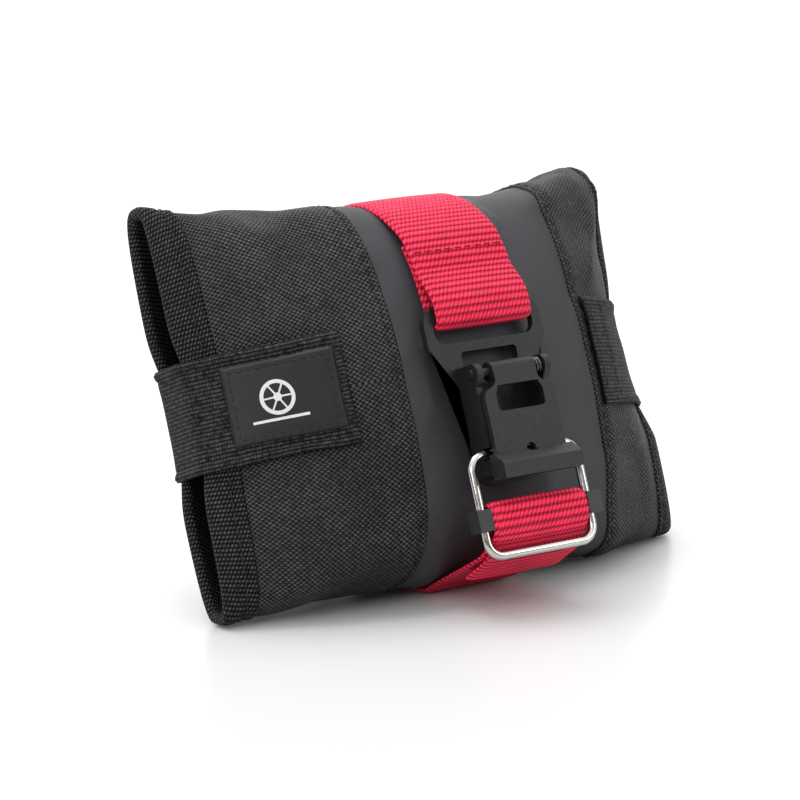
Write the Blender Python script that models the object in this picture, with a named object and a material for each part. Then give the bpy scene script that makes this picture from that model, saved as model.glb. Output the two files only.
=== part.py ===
"""Saddle bag: a soft tube of sewn cloth with two open, elastic-closed ends, held by a webbing strap
whose lever buckle and wire ring sit on the front.

The bag's own frame has +X along the tube, -Y out of the front (buckle) side and +Z up, with its
origin in the middle of the tube. Everything hangs from one empty that leans the bag back about X
and sets it on the ground plane z = 0. All sizes are in metres.
"""

from math import copysign, cos, pi, radians, sin

import bmesh
import bpy
from mathutils import Vector

# The bag leans back, and rests on the strap where it runs underneath.
LEAN = radians(20.0)
CENTRE_HEIGHT = 0.0424
CENTRE_DEPTH = 0.007889

# The tube of cloth
HALF_LENGTH = 0.0635
TOP_AT_STRAP = 0.0410
BOTTOM_AT_STRAP = 0.0447
TOP_AT_MOUTHS = (0.0470, 0.0495)
BOTTOM_AT_MOUTHS = (0.0435, 0.0424)
RIGHT_CORNER_DROOP = 0.0050
DROOP_STARTS = 0.75
HALF_DEPTH = 0.0272
MOUTH_HALF_DEPTH = 0.0045
RIGHT_MOUTH_SET_BACK = 0.0087
RIGHT_MOUTH_TWIST = 0.025
RIGHT_MOUTH_BOW = 0.0045
BOW_Z = 0.0100
BOW_REACH = 0.0300
CLOTH = 0.0008
GAP = 0.0003
SEAM_LEFT = -0.0220
SEAM_RIGHT = 0.0340
ROUND_STEPS = 52

# Tapes, bands and webbing
BINDING_THICK = 0.0005
BINDING_WIDTH = 0.0072
BINDING_GAP = 0.0003
ELASTIC_THICK = 0.0008
ELASTIC_HEIGHT = 0.0245
LEFT_ELASTIC_INNER_END = -0.0330
RIGHT_ELASTIC_INNER_END = 0.0345
WEBBING_WIDTH = 0.0250
WEBBING_THICK = 0.0013
STRAP_X = -0.0008

# The buckle, in the bag's frame
FRAME_BACK = -0.0289
FRAME_PLATE = 0.0018
FRAME_TOP = 0.0138
SLOT_TOP = 0.0100
SLOT_BOTTOM = 0.0050
FRAME_HALF_WIDTH = 0.0154
WAIST_HALF_WIDTH = 0.0098
WAIST_Z = -0.0048
EAR_RADIUS = 0.0048
SHOULDER_RADIUS = 0.0040
SHOULDER_Z = 0.0050
SLOT_CORNER = 0.0026
NOSE_BOTTOM = -0.0268
CHEEK_THICK = 0.0016
CHEEK_FRONT = -0.0370
PIN_Y = -0.0366
PIN_Z = -0.0030
PIN_RADIUS = 0.0010
PIN_BORE = 0.00105
KNUCKLE_RADIUS = 0.0022
KNUCKLE_HALF_WIDTH = 0.0057
LEVER_HALF_WIDTH = 0.0092
LEVER_THICK = 0.0014
LEVER_BOTTOM = -0.0262
TAB_HALF_WIDTH = 0.0104
TAB_FRONT = -0.0422

# The wire ring and the slider on it
WIRE_RADIUS = 0.0010
RING_Y = -0.0350
RING_TOP = -0.0205
RING_BOTTOM = -0.0424
RING_HALF_WIDTH = 0.0141
RING_CORNER = 0.0035
SLIDER_Z = -0.0345
SLIDER_HALF_HEIGHT = 0.0024
SLIDER_HALF_DEPTH = 0.0012


def clear_scene():
    for obj in list(bpy.data.objects):
        bpy.data.objects.remove(obj, do_unlink=True)


def material(name, colour, roughness, metallic=0.0):
    made = bpy.data.materials.new(name)
    made.use_nodes = True
    shader = made.node_tree.nodes["Principled BSDF"]
    shader.inputs["Base Color"].default_value = (*colour, 1.0)
    shader.inputs["Roughness"].default_value = roughness
    shader.inputs["Metallic"].default_value = metallic
    return made


def add_object(name, mesh, parent, look, at=(0.0, 0.0, 0.0)):
    """Places a mesh whose points are in the bag's frame, with the origin at a joint or at zero."""
    obj = bpy.data.objects.new(name, mesh)
    bpy.context.scene.collection.objects.link(obj)
    obj.parent = parent
    obj.location = Vector(at) - Vector(parent["bag_frame_place"])
    for vertex in mesh.vertices:
        vertex.co -= Vector(at)
    mesh.materials.append(look)
    return obj


def empty(name, parent, place):
    obj = bpy.data.objects.new(name, None)
    bpy.context.scene.collection.objects.link(obj)
    obj["bag_frame_place"] = place
    if parent is not None:
        obj.parent = parent
        obj.location = Vector(place) - Vector(parent["bag_frame_place"])
    return obj


def closed_mesh(name, points, faces):
    mesh = bpy.data.meshes.new(name)
    mesh.from_pydata([tuple(point) for point in points], [], faces)
    work = bmesh.new()
    work.from_mesh(mesh)
    bmesh.ops.recalc_face_normals(work, faces=work.faces)
    work.to_mesh(mesh)
    work.free()
    return mesh


# The outer surface of the bag

def end_share(x):
    """0 in the middle of the tube, 1 at a mouth."""
    return min(abs(x) / HALF_LENGTH, 1.02)


def half_depth(x):
    return MOUTH_HALF_DEPTH + (HALF_DEPTH - MOUTH_HALF_DEPTH) * (1.0 - end_share(x) ** 2.2)


def set_back(x, z):
    """How far the right end is bent to the rear: more at its top than at its bottom, and most where
    the elastic pulls it in."""
    if x <= 0.0:
        return 0.0
    bow = RIGHT_MOUTH_BOW * max(0.0, 1.0 - ((z - BOW_Z) / BOW_REACH) ** 2)
    return (RIGHT_MOUTH_SET_BACK + RIGHT_MOUTH_TWIST * z + bow) * end_share(x) ** 3


def half_height(x, above):
    """Height above or below the centre line. The strap waists the tube, its flat mouths stand tallest,
    and the right one's upper corner droops."""
    at_strap = TOP_AT_STRAP if above else BOTTOM_AT_STRAP
    at_mouth = (TOP_AT_MOUTHS if above else BOTTOM_AT_MOUTHS)[1 if x > 0 else 0]
    height = at_strap + (at_mouth - at_strap) * end_share(x) ** 2.2
    if above and x > 0.0:
        height -= RIGHT_CORNER_DROOP * (max(end_share(x) - DROOP_STARTS, 0.0) / (1.0 - DROOP_STARTS)) ** 2
    return height


def resting_plane(offset):
    """Height of the flat underside in the leaned frame, measured from the bag's centre."""
    return WEBBING_THICK + GAP - CENTRE_HEIGHT - offset


def on_bag(x, angle, offset=0.0):
    """Point of the bag's surface moved out by offset. Angle 0 faces the front, 90 degrees the top."""
    power = 2.0 / (2.7 + 1.3 * end_share(x) ** 2)
    across = copysign(abs(cos(angle)) ** power, cos(angle))
    up = copysign(abs(sin(angle)) ** power, sin(angle))
    z = (half_height(x, up > 0.0) + offset) * up
    y = set_back(x, z) - (half_depth(x) + offset) * across
    height = -y * sin(LEAN) + z * cos(LEAN)
    missing = resting_plane(offset) - height
    if missing > 0.0:
        y -= missing * sin(LEAN)
        z += missing * cos(LEAN)
    return Vector((x, y, z))


def front_angle_at(x, z, offset, side):
    """Angle of the surface point of height z on the front (side 1) or the back (side -1)."""
    low, high = radians(-89.0), radians(89.0)
    for _ in range(40):
        middle = 0.5 * (low + high)
        if on_bag(x, middle, offset).z < z:
            low = middle
        else:
            high = middle
    return middle if side > 0 else pi - middle


def front_point(x, z, offset, side=1):
    point = on_bag(x, front_angle_at(x, z, offset, side), offset)
    return Vector((x, point.y, z))


# Shapes of cloth

def spaced(start, end, count):
    return [start + (end - start) * step / (count - 1) for step in range(count)]


def ring_of_profiles(name, profiles):
    """Joins closed profiles, each a list of points, into a ring that closes on itself."""
    count, size = len(profiles), len(profiles[0])
    points = [point for profile in profiles for point in profile]
    faces = []
    for i in range(count):
        for j in range(size):
            here, there = i * size, (i + 1) % count * size
            following = (j + 1) % size
            faces.append((here + j, here + following, there + following, there + j))
    return closed_mesh(name, points, faces)


def bar_of_profiles(name, profiles):
    """Joins closed profiles into a bar with flat ends."""
    count, size = len(profiles), len(profiles[0])
    points = [point for profile in profiles for point in profile]
    faces = []
    for i in range(count - 1):
        for j in range(size):
            here, there = i * size, (i + 1) * size
            following = (j + 1) % size
            faces.append((here + j, here + following, there + following, there + j))
    faces.append(tuple(range(size)))
    faces.append(tuple(range((count - 1) * size, count * size)))
    return closed_mesh(name, points, faces)


def cloth_tube(name, stations, outer, inner):
    """A tube of cloth along X between two offsets from the bag's surface."""
    profiles = []
    for step in range(ROUND_STEPS):
        angle = 2.0 * pi * step / ROUND_STEPS
        outside = [on_bag(x, angle, outer) for x in stations]
        inside = [on_bag(x, angle, inner) for x in reversed(stations)]
        profiles.append(outside + inside)
    return ring_of_profiles(name, profiles)


def binding_tape(name, side):
    """Tape folded over the rim of one mouth: outside, round the edge and inside."""
    edge = side * (HALF_LENGTH - BINDING_THICK - BINDING_GAP)
    rim = side * HALF_LENGTH
    inner_end = side * (HALF_LENGTH - BINDING_WIDTH)
    lift = BINDING_GAP + BINDING_THICK
    fold = edge + side * BINDING_GAP
    middle = side * (HALF_LENGTH - 0.5 * BINDING_WIDTH)
    outline = [
        (inner_end, BINDING_GAP),
        (inner_end, lift),
        (middle, lift),
        (rim, lift),
        (rim, -CLOTH - lift),
        (middle, -CLOTH - lift),
        (inner_end, -CLOTH - lift),
        (inner_end, -CLOTH - BINDING_GAP),
        (middle, -CLOTH - BINDING_GAP),
        (fold, -CLOTH - BINDING_GAP),
        (fold, BINDING_GAP),
        (middle, BINDING_GAP),
    ]
    profiles = []
    for step in range(ROUND_STEPS):
        angle = 2.0 * pi * step / ROUND_STEPS
        profiles.append([on_bag(x, angle, offset) for x, offset in outline])
    return ring_of_profiles(name, profiles)


def wall_sheet(name, stations, low, high, rows, outer, inner, side):
    """A sheet that lies along the front (side 1) or back (side -1) wall between two heights."""
    profiles = []
    for x in stations:
        heights = spaced(low, high, rows)
        outside = [front_point(x, z, outer, side) for z in heights]
        inside = [front_point(x, z, inner, side) for z in reversed(heights)]
        profiles.append(outside + inside)
    return bar_of_profiles(name, profiles)


def elastic_band(name, side, inner_end, low, high):
    """A band that runs out along the front wall, round the mouth's edge and back along the rear wall."""
    near = 2.0 * BINDING_GAP + BINDING_THICK + 0.0001
    far = near + ELASTIC_THICK
    rim = side * HALF_LENGTH
    turn = rim + side * GAP
    corner_step = 0.7 * ELASTIC_THICK
    along = spaced(inner_end, rim, 9)
    heights = spaced(low, high, 5)

    def wall_profile(x, wall):
        near_side = [front_point(x, z, near, wall) for z in heights]
        far_side = [front_point(x, z, far, wall) for z in reversed(heights)]
        return near_side + far_side

    def edge_profile(share):
        at_corner = abs(share) == 1.0
        reach = corner_step if at_corner else ELASTIC_THICK
        near_side, far_side = [], []
        for z in heights:
            centre = set_back(rim, z)
            y = centre + share * (centre - front_point(rim, z, near).y - GAP)
            outward = copysign(corner_step, share) if at_corner else 0.0
            near_side.append(Vector((turn, y, z)))
            far_side.append(Vector((turn + side * reach, y + outward, z)))
        return near_side + far_side[::-1]

    profiles = [wall_profile(x, 1) for x in along]
    profiles += [edge_profile(share) for share in (-1.0, -0.5, 0.0, 0.5, 1.0)]
    profiles += [wall_profile(x, -1) for x in reversed(along)]
    return bar_of_profiles(name, profiles)


def keeper_loop(name, half_tall, half_span, half_tunnel):
    """A tape on the rear wall that steps over the webbing and is sewn down at both ends."""
    lift = 3.0 * GAP + WEBBING_THICK
    step = half_tunnel + 0.0018
    heights = spaced(-half_tall, half_tall, 4)
    profiles = []
    for reach in (-half_span, -step, -half_tunnel, half_tunnel, step, half_span):
        over_strap = abs(reach) <= half_tunnel
        surface_x = STRAP_X if over_strap else STRAP_X + reach
        offset = lift if over_strap else GAP
        profile = [front_point(surface_x, z, offset, -1) for z in heights]
        profile += [front_point(surface_x, z, offset + ELASTIC_THICK, -1) for z in reversed(heights)]
        profiles.append([Vector((STRAP_X + reach, point.y, point.z)) for point in profile])
    return bar_of_profiles(name, profiles)


# Webbing

def webbing(name, path, half_width=0.5 * WEBBING_WIDTH, thick=WEBBING_THICK):
    """A flat strap along a path of (y, z) points, lying on the path's right-hand side."""
    profiles = []
    for i, (y, z) in enumerate(path):
        before = Vector(path[max(i - 1, 0)])
        after = Vector(path[min(i + 1, len(path) - 1)])
        along = (after - before).normalized()
        out_y, out_z = along.y * thick, -along.x * thick
        left, right = STRAP_X - half_width, STRAP_X + half_width
        profiles.append(
            [
                Vector((left, y, z)),
                Vector((right, y, z)),
                Vector((right, y + out_y, z + out_z)),
                Vector((left, y + out_y, z + out_z)),
            ]
        )
    return bar_of_profiles(name, profiles)


def round_the_bag(start, end, steps, offset):
    """(y, z) points on the bag's surface under the strap, by angle in degrees."""
    found = []
    for degrees in spaced(start, end, steps):
        point = on_bag(STRAP_X, radians(degrees), offset)
        found.append((point.y, point.z))
    return found


def main_strap_path():
    """From behind the ring, down and under the bag, up the back, over the top and into the slot."""
    load_run = [(-0.0322, -0.0387), (-0.0314, -0.0400), (-0.0298, -0.0409), (-0.0262, -0.0418)]
    around = round_the_bag(-78.0, -345.0, 56, GAP)
    loop_y = FRAME_BACK - 0.5 * FRAME_PLATE - 0.0002
    loop_radius = 0.00275
    loop_z = SLOT_TOP + 0.0006
    turn = arc((loop_y, loop_z), loop_radius, 0.0, -180.0, 9)
    return load_run + around + turn


def fold_path(main_path):
    """The sewn-back end of the strap: up over the frame's top bar and on to the front of the strap."""
    start_y, start_z = main_path[-1]
    layers = 2.0 * GAP + 2.0 * WEBBING_THICK
    rise = [(start_y, start_z + GAP), (start_y, start_z + 0.0030)]
    for height in spaced(0.0175, 0.0300, 5):
        rise.append((front_point(STRAP_X, height, layers).y, height))
    return rise


def wrap_path():
    """Up behind the slider's core, over it, down its front and back towards the ring's bottom bar."""
    back = RING_Y + SLIDER_HALF_DEPTH + GAP
    front = RING_Y - SLIDER_HALF_DEPTH - GAP
    radius = SLIDER_HALF_DEPTH + GAP
    top = SLIDER_Z + SLIDER_HALF_HEIGHT + GAP - radius
    over = arc((RING_Y, top), radius, 0.0, 180.0, 9)
    end = [(front, -0.0364), (front + 0.0008, -0.0376), (front + 0.0019, -0.0388)]
    return [(back, -0.0383)] + over + end


def tail_path():
    return [
        (-0.0333, -0.0402),
        (-0.0320, -0.0416),
        (-0.0299, -0.0426),
        (-0.0262, -0.0436),
        (-0.0215, -0.0449),
    ]


def arc(centre, radius, start, end, steps):
    """Points of an arc, angles in degrees from the first axis towards the second."""
    points = []
    for degrees in spaced(start, end, steps):
        angle = radians(degrees)
        points.append((centre[0] + radius * cos(angle), centre[1] + radius * sin(angle)))
    return points


# Metal and plastic

def prism_y(name, outline, back, front):
    """A plate whose (x, z) outline is about the strap's middle, between two depths."""
    profiles = []
    for y in (back, front):
        profiles.append([Vector((STRAP_X + x, y, z)) for x, z in outline])
    return bar_of_profiles(name, profiles)


def prism_x(name, outline, left, right):
    """A bar with a (y, z) outline in the bag's frame, between two distances from the strap's middle."""
    profiles = []
    for x in (left, right):
        profiles.append([Vector((STRAP_X + x, y, z)) for y, z in outline])
    return bar_of_profiles(name, profiles)


def mirrored(outline):
    """Adds the left half to an outline of the right half that runs from the top to the bottom."""
    return outline + [(-x, z) for x, z in reversed(outline)]


def join(target, mesh, operation, helpers):
    """Adds or cuts a shape. The helper object stays hidden."""
    helper = bpy.data.objects.new(mesh.name, mesh)
    bpy.context.scene.collection.objects.link(helper)
    helper.parent = helpers
    helper.location = -Vector(helpers["bag_frame_place"])
    helper.hide_render = True
    helper.display_type = "WIRE"
    step = target.modifiers.new(mesh.name, "BOOLEAN")
    step.operation = operation
    step.solver = "EXACT"
    step.object = helper


def box_outline(low_a, high_a, low_b, high_b):
    return [(low_a, low_b), (high_a, low_b), (high_a, high_b), (low_a, high_b)]


def round_outline(centre, radius, steps=24):
    return arc(centre, radius, 0.0, 360.0 * (steps - 1) / steps, steps)


def buckle_frame(parent, look):
    plate_front = FRAME_BACK - FRAME_PLATE
    nose_radius = 0.0042
    right_half = arc((FRAME_HALF_WIDTH - EAR_RADIUS, FRAME_TOP - EAR_RADIUS), EAR_RADIUS, 90.0, 0.0, 7)
    right_half += arc((FRAME_HALF_WIDTH - SHOULDER_RADIUS, SHOULDER_Z), SHOULDER_RADIUS, 0.0, -52.0, 6)
    right_half += [(WAIST_HALF_WIDTH, WAIST_Z)]
    corner = (WAIST_HALF_WIDTH - nose_radius, NOSE_BOTTOM + nose_radius)
    right_half += arc(corner, nose_radius, 0.0, -90.0, 6)
    plate = prism_y("frame_plate", mirrored(right_half), FRAME_BACK, plate_front)
    frame = add_object("buckle_frame", plate, parent, look)
    notch_half = WIRE_RADIUS + GAP
    boss = arc((PIN_Y, PIN_Z), KNUCKLE_RADIUS, 90.0, 215.0, 8)
    cheek = [(FRAME_BACK - 0.0004, PIN_Z + KNUCKLE_RADIUS)] + boss
    cheek += [(CHEEK_FRONT, PIN_Z - 0.0030), (CHEEK_FRONT, -0.0238), (CHEEK_FRONT + 0.0012, -0.0250)]
    cheek += [(FRAME_BACK - 0.0004, -0.0250)]
    outer, inner = WAIST_HALF_WIDTH - 0.00005, WAIST_HALF_WIDTH - CHEEK_THICK
    join(frame, prism_x("right_cheek", cheek, inner, outer), "UNION", parent)
    join(frame, prism_x("left_cheek", cheek, -outer, -inner), "UNION", parent)
    slot_half = arc((0.0131 - 0.0015, SLOT_TOP - 0.0015), 0.0015, 90.0, 0.0, 4)
    slot_half += arc((0.0131 - SLOT_CORNER, SLOT_BOTTOM + SLOT_CORNER), SLOT_CORNER, 0.0, -90.0, 5)
    slot = mirrored(slot_half)
    join(frame, prism_y("slot", slot, FRAME_BACK + 0.001, plate_front - 0.001), "DIFFERENCE", parent)
    window = mirrored([(0.0068, 0.0028), (0.0074, 0.0022), (0.0068, -0.0046)])
    join(frame, prism_y("window", window, FRAME_BACK + 0.001, plate_front - 0.001), "DIFFERENCE", parent)
    pin_hole = round_outline((PIN_Y, PIN_Z), PIN_BORE)
    join(frame, prism_x("pin_hole", pin_hole, -0.0115, 0.0115), "DIFFERENCE", parent)
    notch = [(CHEEK_FRONT - 0.001, RING_TOP + notch_half)]
    notch += arc((RING_Y, RING_TOP), notch_half, 90.0, -90.0, 9)
    notch += [(CHEEK_FRONT - 0.001, RING_TOP - notch_half)]
    join(frame, prism_x("hook_notch", notch, -0.0115, 0.0115), "DIFFERENCE", parent)
    return frame


def lever(parent, look):
    """Rolled knuckle, plate with a window, and a thumb tab across its lower end."""
    pivot = (0.0, PIN_Y, PIN_Z)
    front = PIN_Y - KNUCKLE_RADIUS
    back = front + LEVER_THICK
    knuckle = round_outline((PIN_Y, PIN_Z), KNUCKLE_RADIUS)
    body = add_object(
        "lever", prism_x("lever", knuckle, -KNUCKLE_HALF_WIDTH, KNUCKLE_HALF_WIDTH), parent, look, pivot
    )
    neck = 0.0056
    right_half = [
        (neck, PIN_Z - 0.0002),
        (neck, PIN_Z - 0.0025),
        (neck + 0.0008, PIN_Z - 0.0034),
        (LEVER_HALF_WIDTH - 0.0006, PIN_Z - 0.0044),
        (LEVER_HALF_WIDTH, PIN_Z - 0.0056),
        (LEVER_HALF_WIDTH, LEVER_BOTTOM),
    ]
    join(body, prism_y("lever_plate", mirrored(right_half), back, front), "UNION", parent)
    tab_top = LEVER_BOTTOM + 0.0052
    tab = [
        (back, LEVER_BOTTOM - 0.0004),
        (back, tab_top),
        (front - 0.0004, tab_top),
        (TAB_FRONT + 0.0006, LEVER_BOTTOM + 0.0035),
        (TAB_FRONT, LEVER_BOTTOM + 0.0028),
        (TAB_FRONT, LEVER_BOTTOM - 0.0004),
    ]
    join(body, prism_x("tab", tab, -TAB_HALF_WIDTH, TAB_HALF_WIDTH), "UNION", parent)
    window = mirrored([(0.0052, -0.0064), (0.0062, -0.0082), (0.0062, -0.0114), (0.0056, -0.0120)])
    join(body, prism_y("lever_window", window, back + 0.001, front - 0.001), "DIFFERENCE", parent)
    bore = round_outline((PIN_Y, PIN_Z), PIN_BORE)
    join(body, prism_x("lever_bore", bore, -0.0090, 0.0090), "DIFFERENCE", parent)
    thumb_notch = round_outline((0.0, tab_top + 0.0002), 0.0012, 14)
    join(body, prism_y("thumb_notch", thumb_notch, back + 0.001, front - 0.0010), "DIFFERENCE", parent)
    return body


def wire(name, points, radius, sides, closed, parent, look, at):
    """A round wire through points of the bag's frame, with the object's origin at a joint."""
    curve = bpy.data.curves.new(name, "CURVE")
    curve.dimensions = "3D"
    curve.bevel_depth = radius
    curve.bevel_resolution = sides
    curve.use_fill_caps = True
    spline = curve.splines.new("POLY")
    spline.points.add(len(points) - 1)
    for place, point in zip(spline.points, points):
        place.co = (*(Vector(point) - Vector(at)), 1.0)
    spline.use_cyclic_u = closed
    obj = bpy.data.objects.new(name, curve)
    bpy.context.scene.collection.objects.link(obj)
    obj.parent = parent
    obj.location = Vector(at) - Vector(parent["bag_frame_place"])
    curve.materials.append(look)
    return obj


def ring_points():
    """A rounded rectangle in the plane of the ring."""
    half, corner = RING_HALF_WIDTH, RING_CORNER
    corners = (
        (half - corner, RING_TOP - corner, 90.0),
        (half - corner, RING_BOTTOM + corner, 0.0),
        (-half + corner, RING_BOTTOM + corner, -90.0),
        (-half + corner, RING_TOP - corner, -180.0),
    )
    points = []
    for x, z, start in corners:
        for across, up in arc((x, z), corner, start, start - 90.0, 7):
            points.append((STRAP_X + across, RING_Y, up))
    return points


def spring_points():
    """A short coil round the pin, beside the knuckle."""
    turns, start, pitch, radius = 2.0, KNUCKLE_HALF_WIDTH + 0.0005, 0.00075, 0.00155
    points = []
    for step in range(int(turns * 14) + 1):
        angle = 2.0 * pi * step / 14
        x = STRAP_X + start + pitch * step / 14
        points.append((x, PIN_Y + radius * cos(angle), PIN_Z + radius * sin(angle)))
    return points


def slider_bar(parent, look, at):
    """A flat core under the webbing with a hooked block on each leg of the ring."""
    low, high = SLIDER_Z - SLIDER_HALF_HEIGHT, SLIDER_Z + SLIDER_HALF_HEIGHT
    inner, outer = 0.5 * WEBBING_WIDTH + 0.00025, RING_HALF_WIDTH + 0.0023
    chamfer = 0.0006
    core = [
        (RING_Y + SLIDER_HALF_DEPTH, low + chamfer),
        (RING_Y + SLIDER_HALF_DEPTH, high - chamfer),
        (RING_Y + SLIDER_HALF_DEPTH - chamfer, high),
        (RING_Y - SLIDER_HALF_DEPTH + chamfer, high),
        (RING_Y - SLIDER_HALF_DEPTH, high - chamfer),
        (RING_Y - SLIDER_HALF_DEPTH, low + chamfer),
        (RING_Y - SLIDER_HALF_DEPTH + chamfer, low),
        (RING_Y + SLIDER_HALF_DEPTH - chamfer, low),
    ]
    core_mesh = prism_x("slider_bar", core, -inner - 0.0004, inner + 0.0004)
    bar = add_object("slider_bar", core_mesh, parent, look, at)
    block = box_outline(RING_Y - 0.0023, RING_Y + 0.0017, low + 0.00002, high - 0.00002)
    channel = WIRE_RADIUS + 0.00028
    for side, label in ((1, "right"), (-1, "left")):
        ends = sorted((side * inner, side * outer))
        join(bar, prism_x(label + "_block", block, *ends), "UNION", parent)
        leg_x = side * RING_HALF_WIDTH
        leg = arc((leg_x, RING_Y), channel, 180.0, 360.0, 9)
        leg += [(leg_x + channel, RING_Y + 0.003), (leg_x - channel, RING_Y + 0.003)]
        profiles = []
        for z in (low - 0.001, high + 0.001):
            profiles.append([Vector((STRAP_X + x, y, z)) for x, y in leg])
        join(bar, bar_of_profiles(label + "_channel", profiles), "DIFFERENCE", parent)
    return bar


def cloth_pieces(bag):
    woven = material("woven_black", (0.018, 0.018, 0.019), 0.85)
    coated = material("coated_grey", (0.055, 0.056, 0.058), 0.55)
    tape = material("binding_black", (0.012, 0.012, 0.012), 0.8)
    elastic = material("elastic_black", (0.014, 0.014, 0.015), 0.85)
    satin = material("label_satin", (0.01, 0.01, 0.01), 0.45)
    lining = material("lining_grey", (0.08, 0.08, 0.085), 0.7)
    seam_gap = 0.5 * GAP
    panel_end = HALF_LENGTH - BINDING_THICK - BINDING_GAP
    lining_end = HALF_LENGTH - BINDING_WIDTH - 0.0015
    lining_outer = -CLOTH - GAP
    pocket_outer = lining_outer - 2.0 * GAP - 0.0004
    low, high = -0.5 * ELASTIC_HEIGHT, 0.5 * ELASTIC_HEIGHT
    label_lift = 2.0 * BINDING_GAP + BINDING_THICK + ELASTIC_THICK + 0.0004

    centre = spaced(SEAM_LEFT + seam_gap, SEAM_RIGHT - seam_gap, 7)
    tape_end = HALF_LENGTH - BINDING_WIDTH
    under_tape = [HALF_LENGTH - 0.5 * BINDING_WIDTH, panel_end]
    left = spaced(SEAM_LEFT - seam_gap, -tape_end, 6) + [-x for x in under_tape]
    right = spaced(SEAM_RIGHT + seam_gap, tape_end, 6) + under_tape
    inside = spaced(-lining_end, lining_end, 11)
    pocket = spaced(-lining_end + 0.004, lining_end - 0.004, 9)
    on_label = spaced(-0.0570, -0.0350, 5)

    add_object("centre_panel", cloth_tube("centre_panel", centre, 0.0, -CLOTH), bag, coated)
    add_object("left_end_panel", cloth_tube("left_end_panel", left, 0.0, -CLOTH), bag, woven)
    add_object("right_end_panel", cloth_tube("right_end_panel", right, 0.0, -CLOTH), bag, woven)
    add_object("left_binding", binding_tape("left_binding", -1), bag, tape)
    add_object("right_binding", binding_tape("right_binding", 1), bag, tape)
    sleeve = cloth_tube("inner_lining", inside, lining_outer, lining_outer - 0.0004)
    add_object("inner_lining", sleeve, bag, lining)
    for name, side in (("front_pocket", 1), ("back_pocket", -1)):
        sheet = wall_sheet(name, pocket, -0.030, 0.018, 7, pocket_outer, pocket_outer - 0.0006, side)
        add_object(name, sheet, bag, lining)
    for name, side, inner_end in (
        ("left_elastic", -1, LEFT_ELASTIC_INNER_END),
        ("right_elastic", 1, RIGHT_ELASTIC_INNER_END),
    ):
        add_object(name, elastic_band(name, side, inner_end, low, high), bag, elastic)
    label = wall_sheet("label_patch", on_label, -0.0083, 0.0090, 4, label_lift + 0.0005, label_lift, 1)
    add_object("label_patch", label, bag, satin)


def webbing_pieces(bag, slider):
    red = material("webbing_red", (0.62, 0.012, 0.035), 0.7)
    black = material("keeper_black", (0.014, 0.014, 0.015), 0.85)
    main_path = main_strap_path()
    add_object("main_strap", webbing("main_strap", main_path), bag, red)
    add_object("strap_fold", webbing("strap_fold", fold_path(main_path)), bag, red)
    add_object("strap_tail", webbing("strap_tail", tail_path()), bag, red)
    add_object("strap_keeper", keeper_loop("strap_keeper", 0.0090, 0.0190, 0.0130), bag, black)
    add_object("strap_wrap", webbing("strap_wrap", wrap_path()), slider, red, slider["bag_frame_place"])


def buckle_pieces(bag, lever_pivot, ring_pivot, slider):
    anodised = material("anodised_black", (0.02, 0.02, 0.021), 0.42, 0.7)
    steel = material("stainless_wire", (0.72, 0.72, 0.70), 0.18, 1.0)
    spring_steel = material("spring_steel", (0.45, 0.45, 0.45), 0.3, 1.0)
    plastic = material("slider_plastic", (0.015, 0.015, 0.015), 0.5)
    buckle_frame(bag, anodised)
    lever(lever_pivot, anodised)
    pin = prism_x("lever_pin", round_outline((PIN_Y, PIN_Z), PIN_RADIUS, 20), -0.0104, 0.0104)
    add_object("lever_pin", pin, bag, anodised)
    wire("lever_spring", spring_points(), 0.0003, 1, False, bag, spring_steel, (0.0, PIN_Y, PIN_Z))
    ring_place = ring_pivot["bag_frame_place"]
    wire("wire_ring", ring_points(), WIRE_RADIUS, 3, True, ring_pivot, steel, ring_place)
    slider_bar(slider, plastic, slider["bag_frame_place"])


def build():
    clear_scene()
    ground = empty("ground", None, (0.0, 0.0, 0.0))
    bag = empty("leaned_bag", ground, (0.0, 0.0, 0.0))
    bag.location = (0.0, CENTRE_DEPTH, CENTRE_HEIGHT)
    bag.rotation_euler = (-LEAN, 0.0, 0.0)
    lever_pivot = empty("lever_pivot", bag, (0.0, PIN_Y, PIN_Z))
    ring_pivot = empty("ring_pivot", bag, (0.0, RING_Y, RING_TOP))
    slider = empty("slider_place", ring_pivot, (0.0, RING_Y, SLIDER_Z))
    cloth_pieces(bag)
    webbing_pieces(bag, slider)
    buckle_pieces(bag, lever_pivot, ring_pivot, slider)


build()
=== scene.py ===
"""Looks of the strapped saddle bag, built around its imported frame."""

from math import cos, pi, radians, sin

import bmesh
import bpy
import numpy as np
from mathutils import Matrix, Vector


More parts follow.
